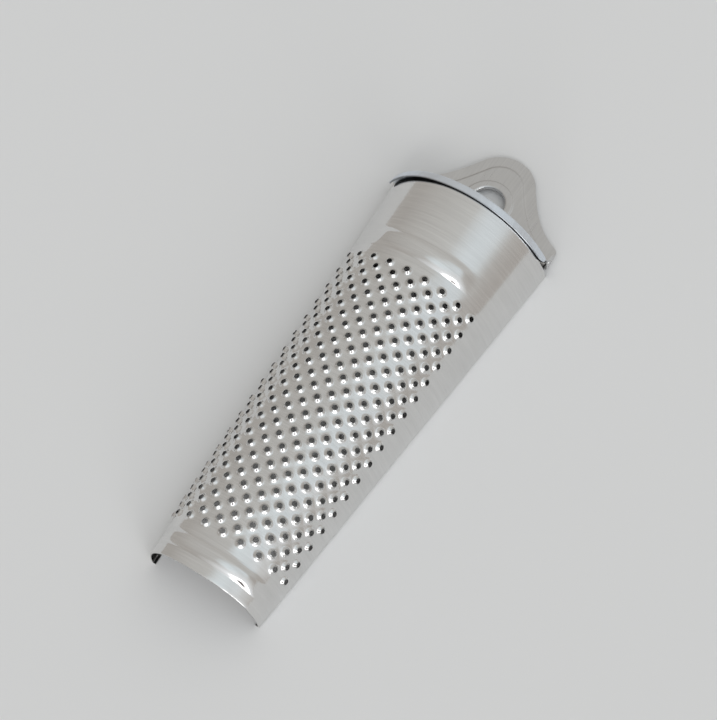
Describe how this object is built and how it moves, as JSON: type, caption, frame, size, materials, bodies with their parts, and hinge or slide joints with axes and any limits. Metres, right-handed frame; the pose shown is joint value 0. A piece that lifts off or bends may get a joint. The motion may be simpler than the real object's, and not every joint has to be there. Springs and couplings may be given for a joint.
{
  "type": "nutmeg grater",
  "caption": "Tapered half-round sheet grater of raised teeth, with a nut box at its wide end, a hinged half-moon lid and a flat hanger with a hole.",
  "frame": {"origin": "middle of the length and width, on the plane of the folded side edges that the grater lies on", "axes": "+X to the right seen from above with the hanger away, +Y along the length towards the hanger, +Z out of the arch"},
  "size_m": [0.0406, 0.1194, 0.0184],
  "materials": {
    "brushed_sheet": "satin, brushed round the arch",
    "hanger_sheet": "satin, brushed along its length",
    "floor_sheet": "satin",
    "lid_sheet": "satin, brighter on the drawn flange",
    "pin_wire": "drawn wire"
  },
  "bodies": {
    "frame": {"grater_body": "brushed_sheet", "back_plate": "hanger_sheet", "compartment_floor": "floor_sheet", "hinge_pin": "pin_wire"},
    "lid": {"lid": "lid_sheet"}
  },
  "joints": [
    {"name": "lid_hinge", "type": "hinge", "parent": "frame", "child": "lid", "pos_m": [0, 0.04034, 0.00242], "axis": [-1, 0, 0], "range_deg": [0, 92]}
  ]
}
